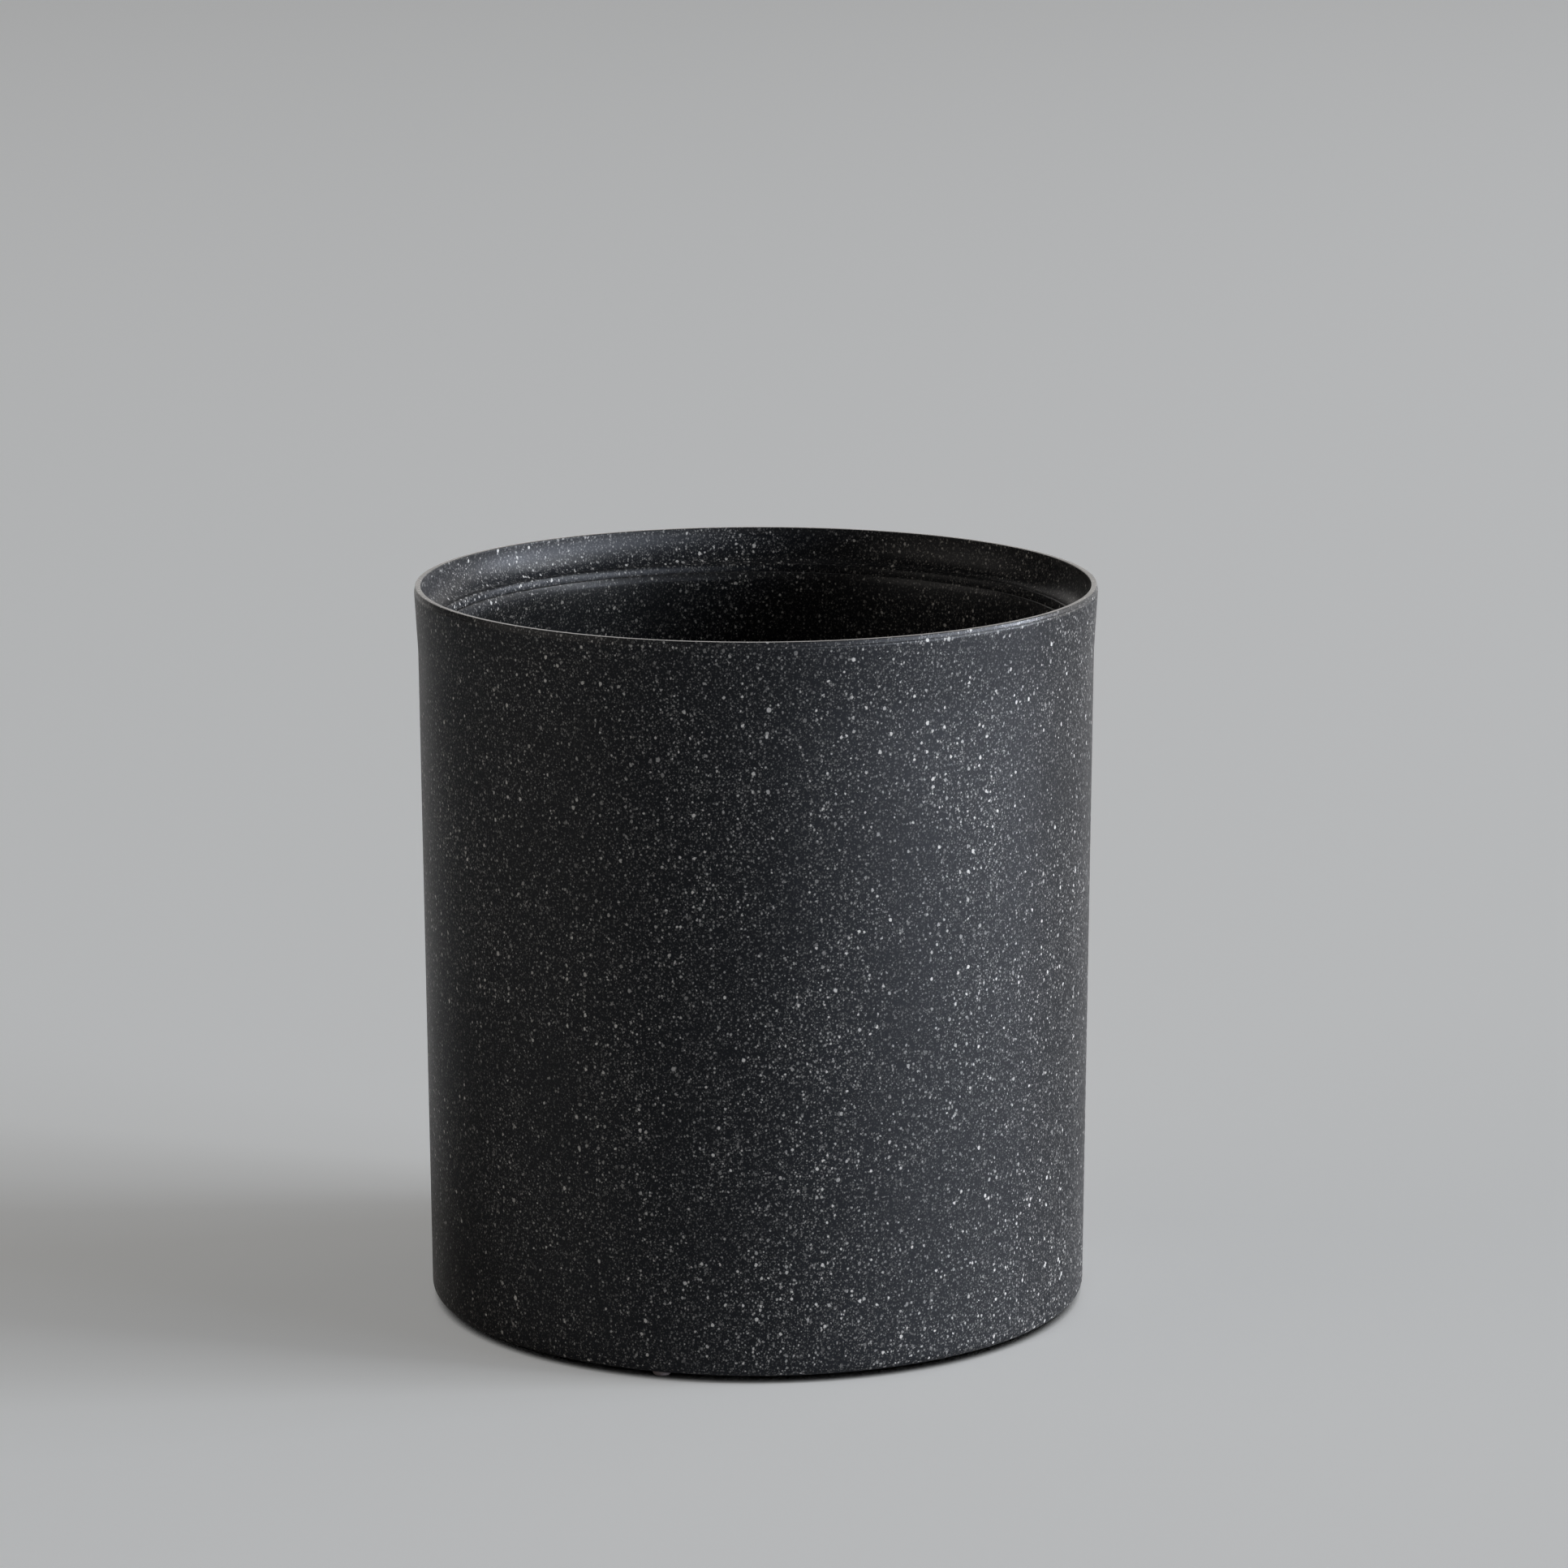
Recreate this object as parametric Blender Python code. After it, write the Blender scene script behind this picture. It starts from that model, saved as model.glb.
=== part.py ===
"""Round cotton jar: an outer shell, an inner cup that lifts out of it, and three soft feet.

Lengths are in metres. The jar stands on z = 0, its axis is the z axis, and its front faces -y.
"""

from math import cos, pi, radians, sin, tan

import bmesh
import bpy

# The jar as a whole
JAR_HEIGHT = 0.100
BODY_RADIUS = 0.04615
DRAFT_ANGLE = radians(0.5)

# The outer shell: BODY_RADIUS is measured where the flare starts, and the draft narrows it below that
FLARE_HEIGHT = 0.009
FLARE_OUT = 0.00045
SHELL_WALL = 0.0029
SHELL_FLOOR = 0.0030
RIM_WALL = 0.00125
RIM_ROUND = 0.00040
MOUTH_ROUND = 0.00015
BOTTOM_ROUND = 0.0012
SHELL_CORNER = 0.0030

# The mouth: a flared recess, then a cove that turns in to a flat ledge with a rounded inner edge
RECESS_DEPTH = 0.0030
RECESS_FLARE = 0.00030
COVE_DEPTH = 0.0020
COVE_WIDTH = 0.0008
LEDGE_EDGE_WIDTH = 0.0005
LEDGE_EDGE_DROP = 0.0009

# The inner cup, which hangs clear of the shell by the seam and stands on the shell's floor
SEAM_GAP = 0.0003
SEAT_GAP = 0.0003
CUP_SETBACK = 0.0010
CUP_WALL = 0.0012
CUP_FLOOR = 0.0020
CUP_EDGE_OUTSIDE = 0.00015
CUP_EDGE_INSIDE = 0.0009
CUP_CORNER = 0.0040

# The feet, small round studs, each in a pocket of the shell's underside
FOOT_RADIUS = 0.00125
FOOT_STANDOUT = 0.0009
FOOT_POCKET = 0.0010
FOOT_GAP = 0.0003
FOOT_ROUND = 0.0004
FOOT_FROM_EDGE = 0.0005
FOOT_BEARINGS = {
    "foot_front": radians(-17.5),
    "foot_right_rear": radians(102.5),
    "foot_left_rear": radians(-137.5),
}

# How finely round forms are divided
JAR_STEPS = 72
FOOT_STEPS = 20
ROUND_STEPS = 4
CORNER_STEPS = 5
WELD = 0.000001
SHARP_ANGLE = radians(35)
CUT_OVERRUN = 0.0010

# Heights that follow from the sizes above
UNDERSIDE = FOOT_STANDOUT
SHELL_FLOOR_TOP = UNDERSIDE + SHELL_FLOOR
FLARE_START = JAR_HEIGHT - FLARE_HEIGHT
COVE_START = JAR_HEIGHT - RECESS_DEPTH
LEDGE_HEIGHT = COVE_START - COVE_DEPTH
CUP_TOP = LEDGE_HEIGHT - CUP_SETBACK
CUP_UNDERSIDE = SHELL_FLOOR_TOP + SEAT_GAP
CUP_FLOOR_TOP = CUP_UNDERSIDE + CUP_FLOOR


def drafted_radius(height):
    """Outside radius of the straight body, which narrows downwards by the draft angle."""
    return BODY_RADIUS - (FLARE_START - height) * tan(DRAFT_ANGLE)


def shell_outside(height):
    """Outside radius of the shell: the drafted body, then a cone that stands out to the rim."""
    if height <= FLARE_START:
        return drafted_radius(height)
    return BODY_RADIUS + FLARE_OUT * (height - FLARE_START) / FLARE_HEIGHT


def shell_inside(height):
    """Inside radius of the shell below the ledge."""
    return drafted_radius(height) - SHELL_WALL


def cup_outside(height):
    """Outside radius of the inner cup, which follows the shell's inside across the seam."""
    return shell_inside(height) - SEAM_GAP


def cup_inside(height):
    """Inside radius of the inner cup."""
    return cup_outside(height) - CUP_WALL


def arc(centre, radii, start, end, steps):
    """Points of an elliptical arc about a centre, from one angle to another, in degrees from outwards."""
    points = []
    for step in range(steps + 1):
        angle = radians(start + (end - start) * step / steps)
        points.append((centre[0] + radii[0] * cos(angle), centre[1] + radii[1] * sin(angle)))
    return points


def plain_material(name, colour, roughness):
    """A Principled material with one colour and one roughness."""
    material = bpy.data.materials.new(name)
    material.use_nodes = True
    shader = material.node_tree.nodes["Principled BSDF"]
    shader.inputs["Base Color"].default_value = (*colour, 1.0)
    shader.inputs["Roughness"].default_value = roughness
    shader.inputs["Metallic"].default_value = 0.0
    return material


def turned_mesh(name, outline, steps):
    """Turn an outline of (radius, height) points, which starts and ends on the axis, into a closed mesh."""
    form = bmesh.new()
    corners = [form.verts.new((radius, 0.0, height)) for radius, height in outline]
    edges = [form.edges.new(pair) for pair in zip(corners, corners[1:])]
    bmesh.ops.spin(
        form,
        geom=corners + edges,
        cent=(0.0, 0.0, 0.0),
        axis=(0.0, 0.0, 1.0),
        angle=2 * pi,
        steps=steps,
        use_merge=True,
    )
    bmesh.ops.remove_doubles(form, verts=form.verts, dist=WELD)
    bmesh.ops.recalc_face_normals(form, faces=form.faces)
    mesh = bpy.data.meshes.new(name)
    form.to_mesh(mesh)
    form.free()
    mesh.shade_smooth()
    mesh.set_sharp_from_angle(angle=SHARP_ANGLE)
    return mesh


def place(name, mesh, material, location=(0.0, 0.0, 0.0)):
    """Put a mesh into the scene under its name."""
    thing = bpy.data.objects.new(name, mesh)
    thing.location = location
    if material:
        mesh.materials.append(material)
    bpy.context.scene.collection.objects.link(thing)
    return thing


def shell_outline():
    """Section of the shell: underside, outside, rim, recess, cove, ledge, inside and floor."""
    round_height = UNDERSIDE + BOTTOM_ROUND
    round_radius = shell_outside(round_height) - BOTTOM_ROUND
    outline = [(0.0, UNDERSIDE)]
    outline += arc((round_radius, round_height), (BOTTOM_ROUND, BOTTOM_ROUND), -90, 0, CORNER_STEPS)

    rim_radius = shell_outside(JAR_HEIGHT)
    rim_round = min(RIM_ROUND, RIM_WALL * 0.45)
    outline.append((shell_outside(FLARE_START), FLARE_START))
    outer_centre = (rim_radius - rim_round, JAR_HEIGHT - rim_round)
    outline += arc(outer_centre, (rim_round, rim_round), 0, 90, ROUND_STEPS)

    mouth_radius = rim_radius - RIM_WALL
    mouth_round = min(MOUTH_ROUND, RIM_WALL * 0.45)
    inner_centre = (mouth_radius + mouth_round, JAR_HEIGHT - mouth_round)
    outline += arc(inner_centre, (mouth_round, mouth_round), 90, 180, ROUND_STEPS // 2)

    recess_radius = mouth_radius - RECESS_FLARE
    ledge_width = recess_radius - shell_inside(LEDGE_HEIGHT)
    cove_width = min(COVE_WIDTH, ledge_width * 0.6)
    outline += arc((recess_radius - cove_width, COVE_START), (cove_width, COVE_DEPTH), 0, -90, CORNER_STEPS)
    edge_width = min(LEDGE_EDGE_WIDTH, ledge_width * 0.3)
    edge_centre = (recess_radius - ledge_width + edge_width, LEDGE_HEIGHT - LEDGE_EDGE_DROP)
    outline += arc(edge_centre, (edge_width, LEDGE_EDGE_DROP), 90, 180, ROUND_STEPS)

    corner_height = SHELL_FLOOR_TOP + SHELL_CORNER
    corner_radius = shell_inside(corner_height) - SHELL_CORNER
    outline += arc((corner_radius, corner_height), (SHELL_CORNER, SHELL_CORNER), 0, -90, CORNER_STEPS)
    outline.append((0.0, SHELL_FLOOR_TOP))
    return outline


def cup_outline():
    """Section of the inner cup: underside, outside, rounded top edge, inside and floor."""
    corner_height = CUP_UNDERSIDE + SHELL_CORNER
    corner_radius = cup_outside(corner_height) - SHELL_CORNER
    outline = [(0.0, CUP_UNDERSIDE)]
    outline += arc((corner_radius, corner_height), (SHELL_CORNER, SHELL_CORNER), -90, 0, CORNER_STEPS)

    outer_round = min(CUP_EDGE_OUTSIDE, CUP_WALL * 0.3)
    inner_round = min(CUP_EDGE_INSIDE, CUP_WALL - outer_round)
    outer_height = CUP_TOP - outer_round
    outer_centre = (cup_outside(outer_height) - outer_round, outer_height)
    outline += arc(outer_centre, (outer_round, outer_round), 0, 90, ROUND_STEPS // 2)
    inner_height = CUP_TOP - inner_round
    inner_centre = (cup_inside(inner_height) + inner_round, inner_height)
    outline += arc(inner_centre, (inner_round, inner_round), 90, 180, CORNER_STEPS)

    inside_height = CUP_FLOOR_TOP + CUP_CORNER
    inside_radius = cup_inside(inside_height) - CUP_CORNER
    outline += arc((inside_radius, inside_height), (CUP_CORNER, CUP_CORNER), 0, -90, CORNER_STEPS)
    outline.append((0.0, CUP_FLOOR_TOP))
    return outline


def foot_outline():
    """Section of a foot: a round stud whose lower edge is rounded."""
    foot_round = min(FOOT_ROUND, FOOT_STANDOUT)
    outline = [(0.0, 0.0)]
    centre = (FOOT_RADIUS - foot_round, foot_round)
    outline += arc(centre, (foot_round, foot_round), -90, 0, ROUND_STEPS // 2)
    foot_top = UNDERSIDE + FOOT_POCKET - FOOT_GAP
    outline += [(FOOT_RADIUS, foot_top), (0.0, foot_top)]
    return outline


def pocket_outline():
    """Section of the cutter for a foot's pocket, which starts below the underside."""
    radius = FOOT_RADIUS + FOOT_GAP
    low = UNDERSIDE - CUT_OVERRUN
    high = UNDERSIDE + FOOT_POCKET
    return [(0.0, low), (radius, low), (radius, high), (0.0, high)]


def foot_place(bearing):
    """Where a foot stands: a bearing from the front, towards +x, just inside the rounded bottom edge."""
    flat_edge = shell_outside(UNDERSIDE + BOTTOM_ROUND) - BOTTOM_ROUND
    reach = flat_edge - FOOT_FROM_EDGE - FOOT_RADIUS
    return (reach * sin(bearing), -reach * cos(bearing), 0.0)


def make_shell(material):
    """The outer shell, with a pocket cut for each foot."""
    shell = place("outer_shell", turned_mesh("outer_shell", shell_outline(), JAR_STEPS), material)
    for foot_name, bearing in FOOT_BEARINGS.items():
        mesh = turned_mesh(foot_name + "_pocket", pocket_outline(), FOOT_STEPS)
        cutter = place(foot_name + "_pocket", mesh, None, foot_place(bearing))
        cutter.hide_render = True
        cutter.display_type = "WIRE"
        cut = shell.modifiers.new(foot_name + "_pocket", "BOOLEAN")
        cut.operation = "DIFFERENCE"
        cut.solver = "EXACT"
        cut.object = cutter
    return shell


def make_cup(material):
    """The inner cup, which slides up out of the shell along z."""
    return place("inner_cup", turned_mesh("inner_cup", cup_outline(), JAR_STEPS), material)


def make_feet(material):
    """The three feet, which share one mesh."""
    mesh = turned_mesh("foot", foot_outline(), FOOT_STEPS)
    mesh.materials.append(material)
    for foot_name, bearing in FOOT_BEARINGS.items():
        place(foot_name, mesh, None, foot_place(bearing))


def main():
    for thing in list(bpy.data.objects):
        bpy.data.objects.remove(thing, do_unlink=True)
    make_shell(plain_material("shell_plastic", (0.045, 0.046, 0.050), 0.42))
    make_cup(plain_material("cup_plastic", (0.045, 0.046, 0.050), 0.38))
    make_feet(plain_material("foot_silicone", (0.42, 0.39, 0.38), 0.35))


main()
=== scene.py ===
from math import cos, pi, radians, sin, tan

import bpy
import numpy as np
from mathutils import Matrix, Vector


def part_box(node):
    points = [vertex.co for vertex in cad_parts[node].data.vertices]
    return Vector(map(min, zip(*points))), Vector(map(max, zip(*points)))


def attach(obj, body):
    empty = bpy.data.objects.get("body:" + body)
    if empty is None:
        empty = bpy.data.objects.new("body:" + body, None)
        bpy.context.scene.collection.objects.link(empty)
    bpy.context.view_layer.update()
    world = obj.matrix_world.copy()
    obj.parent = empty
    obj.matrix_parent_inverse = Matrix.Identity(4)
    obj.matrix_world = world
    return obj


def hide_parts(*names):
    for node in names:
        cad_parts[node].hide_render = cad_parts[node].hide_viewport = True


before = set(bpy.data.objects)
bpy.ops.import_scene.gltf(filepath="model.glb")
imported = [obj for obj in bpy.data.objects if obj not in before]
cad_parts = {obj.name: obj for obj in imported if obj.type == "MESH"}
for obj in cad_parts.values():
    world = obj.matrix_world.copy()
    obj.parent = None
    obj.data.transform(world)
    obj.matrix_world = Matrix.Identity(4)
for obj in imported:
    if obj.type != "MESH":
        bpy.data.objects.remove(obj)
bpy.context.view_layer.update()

# Lengths are in metres and angles in degrees. The jar stands on z = 0, its axis is z, and its front
# faces -y, towards the camera.

# Camera: a plain lens at the photograph's distance and height, aimed a little above the jar's middle
# so that the jar stands low in the frame.
PHOTO_WIDTH = 1932
FOCAL_LENGTH_IN_PIXELS = 7031
SENSOR_WIDTH = 36.0
CAMERA_DISTANCE = 0.768
CAMERA_HEIGHT = 0.2323
CAMERA_PITCH = 11.81
CAMERA_YAW = 0.282
CAMERA_ROLL = 0.08

camera_data = bpy.data.cameras.new("camera")
camera_data.sensor_width = SENSOR_WIDTH
camera_data.lens = SENSOR_WIDTH * FOCAL_LENGTH_IN_PIXELS / PHOTO_WIDTH
camera_data.clip_start = 0.01
camera_data.dof.use_dof = False
camera = bpy.data.objects.new("camera", camera_data)
camera.matrix_world = (
    Matrix.Translation((0.0, -CAMERA_DISTANCE, CAMERA_HEIGHT))
    @ Matrix.Rotation(radians(-CAMERA_YAW), 4, "Z")
    @ Matrix.Rotation(radians(90.0 - CAMERA_PITCH), 4, "X")
    @ Matrix.Rotation(radians(-CAMERA_ROLL), 4, "Z")
)
bpy.context.scene.collection.objects.link(camera)
bpy.context.scene.camera = camera
bpy.context.scene.view_settings.view_transform = "Standard"


# Surroundings: a pale floor in a dark room, lit from the right, with painted shade in the gap under the jar.
# A low strip window in four lengths draws the long highlights and the rim's shadow in the mouth, and a soft
# box over it lights the flecks. The window's two left lengths and the panels far behind the jar show only as
# reflections in it.
FLOOR_SIZE = 30.0
FLOOR_COLOUR = (0.90, 0.90, 0.89)
FLOOR_GLOW = (0.22, 0.22, 0.217)
FLOOR_ROUGHNESS = 0.3
FLOOR_GLOSS = 0.12
# The floor's colour and glow are painted darker in the gap under the jar, a painted shade that reaches this
# far.
PAINTED_SHADE_REACH = 0.02
PAINTED_SHADE_SAMPLES = 8
PAINTED_SHADE_GAIN = 3.0
PAINTED_SHADE_OFFSET = -0.4
ROOM_BLACK = (0.0, 0.0, 0.0, 1.0)
LAMP_DISTANCE = 6.0
LAMP_AIM_HEIGHT = 0.05
STRIP_SIZE = (2.4, 0.08)
DAYLIGHT = (0.80, 0.865, 1.0)
SKYLIGHT = (0.84, 0.90, 1.0)
SOFTBOX_WHITE = (0.92, 0.96, 1.0)
SIDE_WHITE = (1.0, 0.95, 0.90)
LEFT_WHITE = (1.0, 0.94, 0.88)
CEILING_WHITE = (1.0, 0.99, 0.97)
PANEL_WHITE = (1.0, 0.97, 0.94)


def principled(name):
    """A new material and its Principled shader."""
    material = bpy.data.materials.new(name)
    material.use_nodes = True
    return material, material.node_tree.nodes["Principled BSDF"]


def arithmetic(tree, operation, *values, clamp=False):
    """A Math node: each value is a number or a socket."""
    node = tree.nodes.new("ShaderNodeMath")
    node.operation = operation
    node.use_clamp = clamp
    for socket, value in zip(node.inputs, values):
        if isinstance(value, bpy.types.NodeSocket):
            tree.links.new(value, socket)
        else:
            socket.default_value = value
    return node.outputs["Value"]


def make_floor_material():
    """A pale floor whose colour and glow are painted darker in the gap under the jar, a painted shade.

    Colour and glow are scaled by how open the floor is within the shade's reach, times a gain, plus an
    offset, from 0 to 1. The camera sees a glow and no gloss, and every other ray sees a slight gloss and no
    glow.
    """
    material, shader = principled("floor_painted_gap_shade")
    tree = material.node_tree
    shader.inputs["Roughness"].default_value = FLOOR_ROUGHNESS
    shader.inputs["Emission Strength"].default_value = 1.0
    seen = tree.nodes.new("ShaderNodeLightPath").outputs["Is Camera Ray"]
    opening = tree.nodes.new("ShaderNodeAmbientOcclusion")
    opening.samples = PAINTED_SHADE_SAMPLES
    opening.inputs["Distance"].default_value = PAINTED_SHADE_REACH
    # Painted shade: 1 on the open floor, falling to 0 in the gap under the jar.
    clear = arithmetic(tree, "MULTIPLY_ADD", opening.outputs["AO"], PAINTED_SHADE_GAIN, PAINTED_SHADE_OFFSET, clamp=True)
    glow = arithmetic(tree, "MULTIPLY", seen, clear)
    for amount, colour, socket in ((clear, FLOOR_COLOUR, "Base Color"), (glow, FLOOR_GLOW, "Emission Color")):
        shaded = tree.nodes.new("ShaderNodeVectorMath")
        shaded.operation = "SCALE"
        shaded.inputs[0].default_value = colour
        tree.links.new(amount, shaded.inputs["Scale"])
        tree.links.new(shaded.outputs[0], shader.inputs[socket])
    gloss = arithmetic(tree, "MULTIPLY_ADD", seen, -FLOOR_GLOSS, FLOOR_GLOSS)
    tree.links.new(gloss, shader.inputs["Specular IOR Level"])
    return material


floor_mesh = bpy.data.meshes.new("floor")
half = FLOOR_SIZE / 2
floor_mesh.from_pydata(
    [(-half, -half, 0.0), (half, -half, 0.0), (half, half, 0.0), (-half, half, 0.0)], [], [(0, 1, 2, 3)]
)
floor_mesh.materials.append(make_floor_material())
floor = bpy.data.objects.new("floor", floor_mesh)
bpy.context.scene.collection.objects.link(floor)

world = bpy.data.worlds.new("room")
bpy.context.scene.world = world
world.use_nodes = True
world.node_tree.nodes["Background"].inputs["Color"].default_value = ROOM_BLACK


def soft_light(name, bearing, elevation, size, radiance, colour, only_reflected=False):
    """A rectangular light that faces the jar. The bearing runs from the front towards +x.

    Its power is pi times its area times its radiance, where a radiance of 1 looks white. One that is only
    reflected shows in a gloss and adds nothing to a plain surface.
    """
    light = bpy.data.lights.new(name, "AREA")
    light.shape = "RECTANGLE"
    light.size, light.size_y = size
    light.energy = pi * size[0] * size[1] * radiance
    light.color = colour
    lamp = bpy.data.objects.new(name, light)
    turn = Matrix.Rotation(radians(bearing), 4, "Z") @ Matrix.Rotation(radians(90.0 - elevation), 4, "X")
    aim = Matrix.Translation((0.0, 0.0, LAMP_AIM_HEIGHT))
    lamp.matrix_world = aim @ turn @ Matrix.Translation((0.0, 0.0, LAMP_DISTANCE))
    lamp.visible_camera = False
    lamp.visible_diffuse = not only_reflected
    bpy.context.scene.collection.objects.link(lamp)


soft_light("window_far_left", 24.0, 5.0, STRIP_SIZE, 50.0, DAYLIGHT, only_reflected=True)
soft_light("window_left", 46.0, 5.0, STRIP_SIZE, 140.0, DAYLIGHT, only_reflected=True)
soft_light("window_middle", 68.0, 5.5, STRIP_SIZE, 190.0, DAYLIGHT)
soft_light("window_right", 96.0, 5.7, STRIP_SIZE, 235.0, DAYLIGHT)
soft_light("window_head", 60.0, 9.0, (2.0, 0.7), 6.0, SKYLIGHT)
soft_light("softbox", 83.0, 22.0, (2.4, 1.4), 12.5, SOFTBOX_WHITE)
soft_light("side", 118.0, 8.0, (4.4, 1.6), 1.9, SIDE_WHITE)
soft_light("left_panel", -75.0, 15.0, (6.0, 3.0), 0.70, LEFT_WHITE)
soft_light("ceiling", 0.0, 90.0, (7.0, 7.0), 0.12, CEILING_WHITE)
soft_light("backdrop", 180.0, 10.0, (9.0, 2.0), 1.30, PANEL_WHITE, only_reflected=True)
soft_light("high_backdrop", 180.0, 32.0, (9.0, 4.0), 0.54, PANEL_WHITE, only_reflected=True)


# Outer shell: the jar's outside, rim and mouth recess, one injection moulding in flecked black plastic.
# The wall leans in slightly towards the foot, and its last 9 mm is a cone that stands out to a thin rim.
# The rim is bevelled, with a fine parting line round it, and the recess ends in a rounded ledge.
TURN_STEPS = 288
SHARP_ANGLE = 40.0
shell_low, shell_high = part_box("outer_shell")
UNDERSIDE = shell_low[2]
RIM_HEIGHT = shell_high[2]
RIM_RADIUS = shell_high[0]
FLARE_HEIGHT = 0.009
FLARE_OUT = 0.00045
DRAFT = tan(radians(0.5))
BOTTOM_ROUND = 0.0012
RIM_WALL = 0.00090
RIM_BEVEL_DROP = 0.00095
RIM_BEVEL_SLOPE = 12.0
RIM_BEVEL_START = 0.0015
RIM_EDGE = 0.00012
PARTING_DROP = 0.00060
PARTING_DEPTH = 0.00003
PARTING_WIDTH = 0.00008
MOUTH_ROUND = 0.00015
COVE_DEPTH = 0.0049
COVE_WIDTH = 0.0020
COVE_START = 2.0
LEDGE_EDGE_WIDTH = 0.00030
LEDGE_EDGE_DROP = 0.0011
SHELL_WALL = 0.0029
SHELL_FLOOR = 0.0030
SHELL_CORNER = 0.0030
flare_start = RIM_HEIGHT - FLARE_HEIGHT
body_radius = RIM_RADIUS - FLARE_OUT
ledge_height = RIM_HEIGHT - COVE_DEPTH


def drafted(height):
    """Radius of the straight body: its radius under the flare, less the draft times the drop below it."""
    return body_radius - (flare_start - height) * DRAFT


def bend(centre, radii, start, end, count):
    """Points on an elliptical arc: centre + (a cos t, b sin t), with t from start to end."""
    angle = np.radians(np.linspace(start, end, count))
    return np.stack([centre[0] + radii[0] * np.cos(angle), centre[1] + radii[1] * np.sin(angle)], axis=1)


def round_bend(centre, radius, start, end, count):
    """Points on a round arc: centre + radius (cos t, sin t), with t from start to end."""
    return bend(centre, (radius, radius), start, end, count)


def run(start, end, count):
    """Evenly spaced points on a straight line, without its two ends."""
    share = np.linspace(0.0, 1.0, count + 2)[1:-1, None]
    return np.array(start) * (1.0 - share) + np.array(end) * share


def turned(name, section, steps=TURN_STEPS, centre=(0.0, 0.0)):
    """Surface of revolution. Row i and column j give (r_i cos t_j, r_i sin t_j, z_i), about the centre.

    The angle t_j is 2 pi j / steps. The section's first and last points lie on the axis, and are the poles.
    """
    turn = 2 * pi * np.arange(steps) / steps
    radius, height = section[1:-1, 0], section[1:-1, 1]
    rings = np.stack(
        [
            centre[0] + np.outer(radius, np.cos(turn)),
            centre[1] + np.outer(radius, np.sin(turn)),
            np.outer(height, np.ones(steps)),
        ],
        axis=2,
    ).reshape(-1, 3)
    poles = np.array([[*centre, section[0, 1]], [*centre, section[-1, 1]]])
    points = np.concatenate([rings, poles])

    rows = len(radius)
    column = np.arange(steps)
    following = (column + 1) % steps
    row = np.arange(rows - 1)[:, None] * steps
    quads = np.stack([row + column, row + following, row + steps + following, row + steps + column], axis=2)
    first_pole, last_pole = rows * steps, rows * steps + 1
    last_row = (rows - 1) * steps
    first_fan = np.stack([np.full(steps, first_pole), following, column], axis=1)
    last_fan = np.stack([np.full(steps, last_pole), last_row + column, last_row + following], axis=1)

    mesh = bpy.data.meshes.new(name)
    faces = quads.reshape(-1, 4).tolist() + first_fan.tolist() + last_fan.tolist()
    mesh.from_pydata(points.tolist(), [], faces)
    mesh.shade_smooth()
    mesh.set_sharp_from_angle(angle=radians(SHARP_ANGLE))
    mesh.validate()
    piece = bpy.data.objects.new(name, mesh)
    bpy.context.scene.collection.objects.link(piece)
    return piece


def bevelled_rim():
    """The rim's outside: an easy bend, a straight bevel and a small round edge, less the parting line.

    The line takes its depth times exp(-((height - its middle) / its width) squared) off the radius.
    """
    slope = radians(RIM_BEVEL_SLOPE)
    start_centre = (RIM_RADIUS - RIM_BEVEL_START, RIM_HEIGHT - RIM_BEVEL_DROP)
    start = round_bend(start_centre, RIM_BEVEL_START, 0, RIM_BEVEL_SLOPE, 8)
    edge_height = RIM_HEIGHT - RIM_EDGE
    rise = edge_height + RIM_EDGE * sin(slope) - start[-1, 1]
    end = start[-1] + (-rise * tan(slope), rise)
    edge = round_bend((end[0] - RIM_EDGE * cos(slope), edge_height), RIM_EDGE, RIM_BEVEL_SLOPE, 90, 8)
    rim = np.concatenate([start, run(start[-1], end, 32), edge])
    from_middle = (rim[:, 1] - (RIM_HEIGHT - PARTING_DROP)) / PARTING_WIDTH
    rim[:, 0] -= PARTING_DEPTH * np.exp(-(from_middle**2))
    return rim


def shell_section():
    """The shell's section, from the middle of the underside, up the outside, over the rim and down inside."""
    round_height = UNDERSIDE + BOTTOM_ROUND
    round_radius = drafted(round_height) - BOTTOM_ROUND
    mouth = RIM_RADIUS - RIM_WALL
    cove_centre = (mouth - COVE_WIDTH, RIM_HEIGHT)
    bore = drafted(ledge_height) - SHELL_WALL
    edge_centre = (bore + LEDGE_EDGE_WIDTH, ledge_height - LEDGE_EDGE_DROP)
    floor_top = UNDERSIDE + SHELL_FLOOR
    corner = floor_top + SHELL_CORNER
    corner_radius = drafted(corner) - SHELL_WALL - SHELL_CORNER
    return np.concatenate(
        [
            [(0.0, UNDERSIDE)],
            run((0.0, UNDERSIDE), (round_radius, UNDERSIDE), 6),
            round_bend((round_radius, round_height), BOTTOM_ROUND, -90, 0, 12),
            run((drafted(round_height), round_height), (body_radius, flare_start), 20),
            [(body_radius, flare_start)],
            run((body_radius, flare_start), (RIM_RADIUS, RIM_HEIGHT - RIM_BEVEL_DROP), 24),
            bevelled_rim(),
            round_bend((mouth + MOUTH_ROUND, RIM_HEIGHT - MOUTH_ROUND), MOUTH_ROUND, 90, 180, 8),
            bend(cove_centre, (COVE_WIDTH, COVE_DEPTH), -COVE_START, -90, 28),
            bend(edge_centre, (LEDGE_EDGE_WIDTH, LEDGE_EDGE_DROP), 90, 180, 12),
            run((bore, edge_centre[1]), (drafted(corner) - SHELL_WALL, corner), 8),
            round_bend((corner_radius, corner), SHELL_CORNER, 0, -90, 8),
            [(0.0, floor_top)],
        ]
    )


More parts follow.
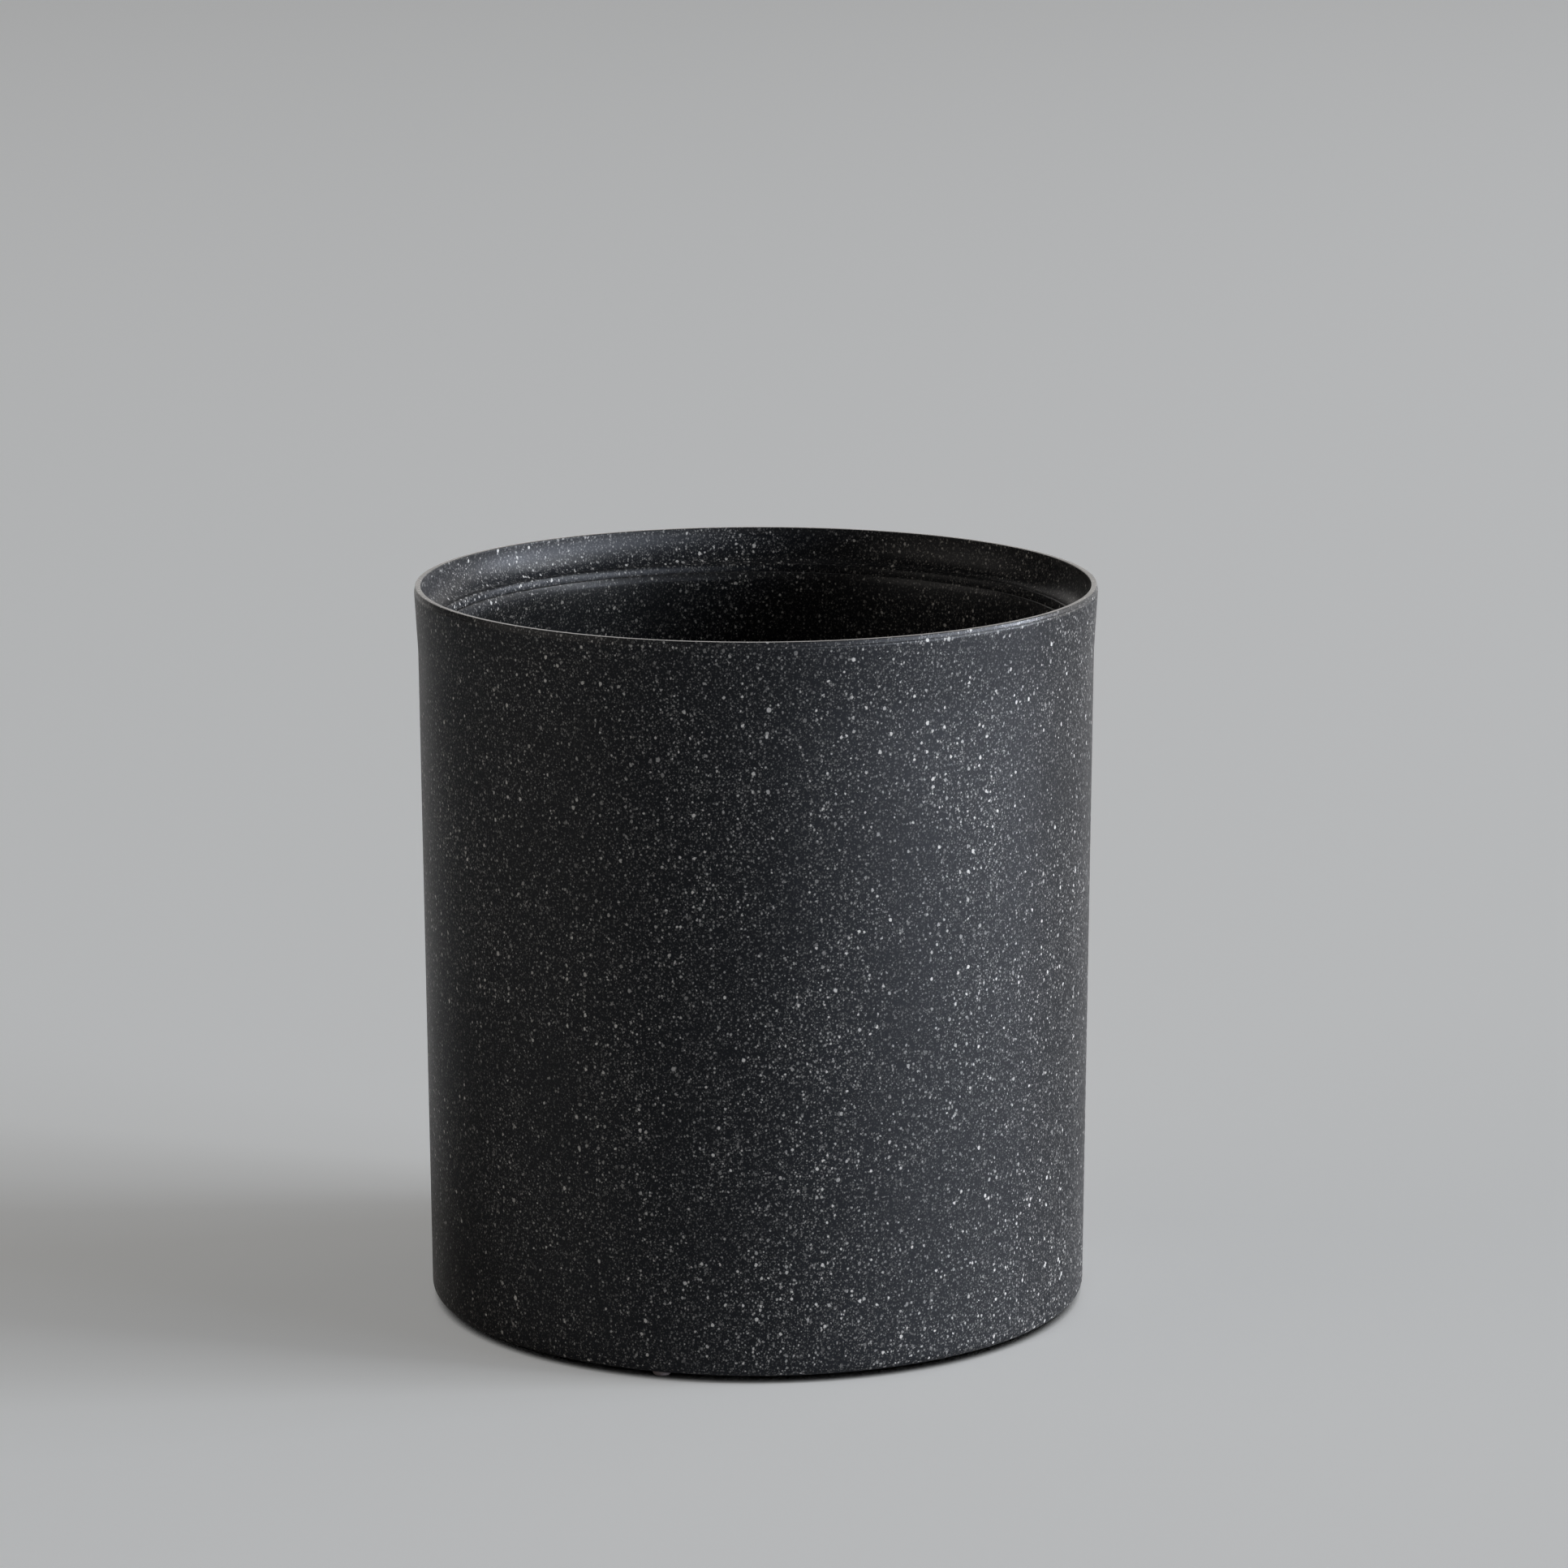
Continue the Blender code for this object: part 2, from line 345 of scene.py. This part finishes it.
# The plastic's colours, gloss and pattern. The pattern is in millimetres and per millimetre, with heights
# squeezed a little, so that flecks stand slightly tall.
CHARCOAL = (0.0130, 0.0142, 0.0170, 1.0)
FLECK_WHITE = (0.87, 0.84, 0.79, 1.0)
SATIN = 0.38
SPECULAR = 0.25
TO_MILLIMETRES = 1000.0
PATTERN_SCALE = (TO_MILLIMETRES, TO_MILLIMETRES, 860.0)
RAGGED_SCALE = 3.2
RAGGED_REACH = (0.28, 0.28, 0.28)
PATCH_SCALE = 0.07
PATCH_DENSITY = 2.0
RADIUS_POWER = 2.0
LEAST_PALE = 0.10
FLECK_ROUGHNESS = 0.10
CLOUD_SCALE = 0.16
CLOUD_ROUGHNESS = 0.10
# Above its edge height a piece is worn smoother and carries a painted highlight that makes it a little
# lighter.
EDGE_STEEPNESS = 4.0
EDGE_PAINTED_HIGHLIGHT = 0.02
EDGE_ROUGHNESS = -0.09
GRAIN_SCALE = 2.4
GRAIN_STRENGTH = 0.5
GRAIN_DEPTH = 0.00002

# Dust, small flecks, flecks and large flecks. Each has its spacing, smallest and largest radius, the share
# of places that hold one, its soft edge, a power that makes pale ones rarer, and its strength.
FLECK_SIZES = (
    (0.26, 0.05, 0.13, 0.90, 0.10, 1.6, 0.34),
    (0.45, 0.06, 0.16, 0.85, 0.11, 2.2, 0.80),
    (0.80, 0.08, 0.24, 0.80, 0.08, 2.6, 1.20),
    (1.80, 0.12, 0.28, 0.50, 0.10, 1.0, 1.20),
)


def group_sockets(tree, inputs, outputs):
    """Give a node group its named sockets: (name, kind, default) for inputs and (name, kind) for outputs."""
    for name, kind, value in inputs:
        socket = tree.interface.new_socket(name, in_out="INPUT", socket_type=kind)
        socket.default_value = value
    for name, kind in outputs:
        tree.interface.new_socket(name, in_out="OUTPUT", socket_type=kind)
    return tree.nodes.new("NodeGroupInput").outputs, tree.nodes.new("NodeGroupOutput").inputs


def noise(tree, place, scale, detail):
    """The outputs of a noise texture at a place."""
    node = tree.nodes.new("ShaderNodeTexNoise")
    node.inputs["Scale"].default_value = scale
    node.inputs["Detail"].default_value = detail
    tree.links.new(place, node.inputs["Vector"])
    return node.outputs


def times_plus(tree, vector, factors, addend):
    """A vector times fixed factors, plus another vector."""
    node = tree.nodes.new("ShaderNodeVectorMath")
    node.operation = "MULTIPLY_ADD"
    node.inputs[1].default_value = factors
    tree.links.new(vector, node.inputs[0])
    tree.links.new(addend, node.inputs[2])
    return node.outputs[0]


def blend_colour(tree, factor, first, second):
    """A mix of two colours."""
    node = tree.nodes.new("ShaderNodeMix")
    node.data_type = "RGBA"
    for name, value in (("Factor", factor), ("A", first), ("B", second)):
        socket = [s for s in node.inputs if s.name == name and s.enabled][0]
        tree.links.new(value, socket)
    return [s for s in node.outputs if s.enabled][0]


def make_fleck_group():
    """Flecks of one size range, set in the plastic: a cell's centre is a round fleck of its own radius.

    Mask is 1 inside a fleck and falls to 0 over its soft edge, and Shade is the fleck's own random number.
    """
    tree = bpy.data.node_groups.new("flecks", "ShaderNodeTree")
    given, result = group_sockets(
        tree,
        [
            ("Place", "NodeSocketVector", (0.0, 0.0, 0.0)),
            ("Spacing", "NodeSocketFloat", 1.0),
            ("Smallest", "NodeSocketFloat", 0.1),
            ("Largest", "NodeSocketFloat", 0.3),
            ("Share", "NodeSocketFloat", 0.8),
            ("Edge", "NodeSocketFloat", 0.08),
        ],
        [("Mask", "NodeSocketFloat"), ("Shade", "NodeSocketFloat")],
    )
    cells = tree.nodes.new("ShaderNodeTexVoronoi")
    cells.voronoi_dimensions = "3D"
    cells.feature = "F1"
    tree.links.new(given["Place"], cells.inputs["Vector"])
    tree.links.new(arithmetic(tree, "DIVIDE", 1.0, given["Spacing"]), cells.inputs["Scale"])
    random = tree.nodes.new("ShaderNodeSeparateColor")
    tree.links.new(cells.outputs["Color"], random.inputs["Color"])
    away = arithmetic(tree, "MULTIPLY", cells.outputs["Distance"], given["Spacing"])
    span = arithmetic(tree, "SUBTRACT", given["Largest"], given["Smallest"])
    uneven = arithmetic(tree, "POWER", random.outputs["Red"], RADIUS_POWER)
    radius = arithmetic(tree, "MULTIPLY_ADD", span, uneven, given["Smallest"])
    inside = arithmetic(tree, "SUBTRACT", radius, away)
    soft = arithmetic(tree, "ADD", arithmetic(tree, "DIVIDE", inside, given["Edge"]), 0.5, clamp=True)
    present = arithmetic(tree, "LESS_THAN", random.outputs["Green"], given["Share"])
    tree.links.new(arithmetic(tree, "MULTIPLY", soft, present), result["Mask"])
    tree.links.new(random.outputs["Blue"], result["Shade"])
    return tree


fleck_group = make_fleck_group()


def make_plastic_group():
    """Flecked black plastic, in millimetres of the piece's own space.

    Colour is the black with its dust and flecks, which are denser in some patches than in others, and above
    Edge Height a painted highlight that makes the edge a little lighter. Roughness is a slightly uneven satin
    that is duller on a fleck, and the edge above Edge Height is worn smoother. Height is the fine grain of
    the mould.
    """
    tree = bpy.data.node_groups.new("flecked_plastic", "ShaderNodeTree")
    given, result = group_sockets(
        tree,
        [
            ("Base", "NodeSocketColor", CHARCOAL),
            ("Fleck", "NodeSocketColor", FLECK_WHITE),
            ("Satin", "NodeSocketFloat", SATIN),
            ("Offset", "NodeSocketVector", (0.0, 0.0, 0.0)),
            ("Edge Height", "NodeSocketFloat", 1000.0),
        ],
        [("Colour", "NodeSocketColor"), ("Roughness", "NodeSocketFloat"), ("Height", "NodeSocketFloat")],
    )
    nodes, links = tree.nodes, tree.links
    own_place = nodes.new("ShaderNodeTexCoord").outputs["Object"]
    place = times_plus(tree, own_place, PATTERN_SCALE, given["Offset"])
    ragged = noise(tree, place, RAGGED_SCALE, detail=1.0)["Color"]
    ragged_place = times_plus(tree, ragged, RAGGED_REACH, place)
    patches = noise(tree, place, PATCH_SCALE, detail=2.0)["Fac"]
    density = arithmetic(tree, "MULTIPLY", patches, PATCH_DENSITY)

    colour = given["Base"]
    total = None
    for spacing, smallest, largest, share, edge, power, strength in FLECK_SIZES:
        layer = nodes.new("ShaderNodeGroup")
        layer.node_tree = fleck_group
        links.new(ragged_place, layer.inputs["Place"])
        layer.inputs["Spacing"].default_value = spacing
        layer.inputs["Smallest"].default_value = smallest
        layer.inputs["Largest"].default_value = largest
        layer.inputs["Share"].default_value = share
        layer.inputs["Edge"].default_value = edge
        paleness = arithmetic(tree, "POWER", layer.outputs["Shade"], power)
        strong = arithmetic(tree, "MULTIPLY_ADD", paleness, strength, LEAST_PALE * strength)
        shown = arithmetic(tree, "MULTIPLY", layer.outputs["Mask"], strong)
        amount = arithmetic(tree, "MULTIPLY", shown, density, clamp=True)
        colour = blend_colour(tree, amount, colour, given["Fleck"])
        total = amount if total is None else arithmetic(tree, "MAXIMUM", total, amount)

    axes = nodes.new("ShaderNodeSeparateXYZ")
    links.new(own_place, axes.inputs[0])
    height = arithmetic(tree, "MULTIPLY", axes.outputs["Z"], TO_MILLIMETRES)
    above = arithmetic(tree, "SUBTRACT", height, given["Edge Height"])
    # Above the edge height: worn smoother, and a painted highlight blends in a little of the fleck colour.
    worn_and_highlit = arithmetic(tree, "MULTIPLY_ADD", above, EDGE_STEEPNESS, 0.5, clamp=True)
    painted_highlight = arithmetic(tree, "MULTIPLY", worn_and_highlit, EDGE_PAINTED_HIGHLIGHT)
    links.new(blend_colour(tree, painted_highlight, colour, given["Fleck"]), result["Colour"])

    cloud = noise(tree, place, CLOUD_SCALE, detail=3.0)["Fac"]
    uneven = arithmetic(tree, "MULTIPLY_ADD", cloud, CLOUD_ROUGHNESS, given["Satin"])
    duller = arithmetic(tree, "MULTIPLY_ADD", total, FLECK_ROUGHNESS, uneven)
    smoother = arithmetic(tree, "MULTIPLY_ADD", worn_and_highlit, EDGE_ROUGHNESS, duller)
    links.new(arithmetic(tree, "SUBTRACT", smoother, CLOUD_ROUGHNESS / 2), result["Roughness"])

    links.new(noise(tree, place, GRAIN_SCALE, detail=2.0)["Fac"], result["Height"])
    return tree


plastic_group = make_plastic_group()


def flecked_plastic(name, offset, edge_height):
    """A material of the flecked plastic, with its own cut through the flecks and its own worn, smoother edge
    with a painted highlight.
    """
    material, shader = principled(name)
    nodes, links = material.node_tree.nodes, material.node_tree.links
    plastic = nodes.new("ShaderNodeGroup")
    plastic.node_tree = plastic_group
    plastic.inputs["Offset"].default_value = offset
    plastic.inputs["Edge Height"].default_value = TO_MILLIMETRES * edge_height
    bump = nodes.new("ShaderNodeBump")
    bump.inputs["Strength"].default_value = GRAIN_STRENGTH
    bump.inputs["Distance"].default_value = GRAIN_DEPTH
    shader.inputs["Specular IOR Level"].default_value = SPECULAR
    links.new(plastic.outputs["Colour"], shader.inputs["Base Color"])
    links.new(plastic.outputs["Roughness"], shader.inputs["Roughness"])
    links.new(plastic.outputs["Height"], bump.inputs["Height"])
    links.new(bump.outputs["Normal"], shader.inputs["Normal"])
    return material


shell = turned("shell", shell_section())
# The shell's painted highlight and worn edge start at the foot of the rim's bevel.
shell_plastic = flecked_plastic("shell_flecked_black", (0.0, 0.0, 0.0), RIM_HEIGHT - RIM_BEVEL_DROP)
shell.data.materials.append(shell_plastic)
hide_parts("outer_shell")
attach(shell, "jar")


# Inner cup: a plain moulded cup of the same flecked plastic, which drops into the shell and lifts out.
# Its bevelled top edge lies just under the ledge's rounded edge, across a hairline seam, and is thinner
# than the wall below it.
cup_low, cup_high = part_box("inner_cup")
CUP_TOP = cup_high[2]
CUP_UNDERSIDE = cup_low[2]
SEAM_GAP = 0.00015
CUP_WALL = 0.0012
CUP_LIP_WALL = 0.0007
CUP_FLOOR = 0.0020
CUP_EDGE_OUTSIDE = 0.00015
CUP_EDGE_INSIDE = 0.00015
CUP_BEVEL_SLOPE = 15.0
CUP_BEVEL_DROP = 0.0010
CUP_CORNER = 0.0040
CUP_FLECK_OFFSET = (37.0, 11.0, 5.0)


def cup_outside(height):
    """Outside radius of the cup: the shell's inside, less the seam."""
    return drafted(height) - SHELL_WALL - SEAM_GAP


def cup_section():
    """The cup's section, from the middle of its underside, up the outside, over its edge and down inside."""
    low = CUP_UNDERSIDE + SHELL_CORNER
    outer = CUP_TOP - CUP_EDGE_OUTSIDE
    inside = CUP_TOP - CUP_EDGE_INSIDE
    bevel_foot = CUP_TOP - CUP_BEVEL_DROP
    floor_top = CUP_UNDERSIDE + CUP_FLOOR
    corner = floor_top + CUP_CORNER
    inner_radius = cup_outside(bevel_foot) - CUP_LIP_WALL
    slope = radians(CUP_BEVEL_SLOPE)
    bevel_width = (inside + CUP_EDGE_INSIDE * sin(slope) - bevel_foot) * tan(slope)
    bevel_top = inner_radius + bevel_width + CUP_EDGE_INSIDE * cos(slope)
    corner_radius = cup_outside(corner) - CUP_WALL
    return np.concatenate(
        [
            [(0.0, CUP_UNDERSIDE)],
            round_bend((cup_outside(low) - SHELL_CORNER, low), SHELL_CORNER, -90, 0, 8),
            run((cup_outside(low), low), (cup_outside(outer), outer), 8),
            round_bend((cup_outside(outer) - CUP_EDGE_OUTSIDE, outer), CUP_EDGE_OUTSIDE, 0, 90, 8),
            round_bend((bevel_top, inside), CUP_EDGE_INSIDE, 90, 180 - CUP_BEVEL_SLOPE, 10),
            [(inner_radius, bevel_foot)],
            run((inner_radius, bevel_foot), (corner_radius, corner), 24),
            round_bend((corner_radius - CUP_CORNER, corner), CUP_CORNER, 0, -90, 16),
            run((corner_radius - CUP_CORNER, floor_top), (0.0, floor_top), 6),
            [(0.0, floor_top)],
        ]
    )


cup = turned("cup", cup_section())
# The cup's painted highlight and worn edge start at the foot of its top bevel.
cup_plastic = flecked_plastic("cup_flecked_black", CUP_FLECK_OFFSET, CUP_TOP - CUP_BEVEL_DROP)
cup.data.materials.append(cup_plastic)
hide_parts("inner_cup")
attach(cup, "cup")


# Feet: three small round studs of milky silicone, pressed into pockets of the underside.
# They hold the body clear of the surface by less than a millimetre.
FOOT_ROUND = 0.0004
FOOT_STEPS = 48
MILKY_SILICONE = (0.52, 0.44, 0.43, 1.0)
SILICONE_ROUGHNESS = 0.3
foot_material, foot_shader = principled("foot_milky_silicone")
foot_shader.inputs["Base Color"].default_value = MILKY_SILICONE
foot_shader.inputs["Roughness"].default_value = SILICONE_ROUGHNESS
for foot_name in ("foot_front", "foot_right_rear", "foot_left_rear"):
    foot_low, foot_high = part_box(foot_name)
    middle = ((foot_low[0] + foot_high[0]) / 2, (foot_low[1] + foot_high[1]) / 2)
    reach = (foot_high[0] - foot_low[0]) / 2
    foot_section = np.concatenate(
        [
            [(0.0, foot_low[2])],
            round_bend((reach - FOOT_ROUND, foot_low[2] + FOOT_ROUND), FOOT_ROUND, -90, 0, 8),
            [(reach, foot_high[2])],
            [(0.0, foot_high[2])],
        ]
    )
    foot = turned(foot_name + "_stud", foot_section, FOOT_STEPS, middle)
    foot.data.materials.append(foot_material)
    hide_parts(foot_name)
    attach(foot, "jar")
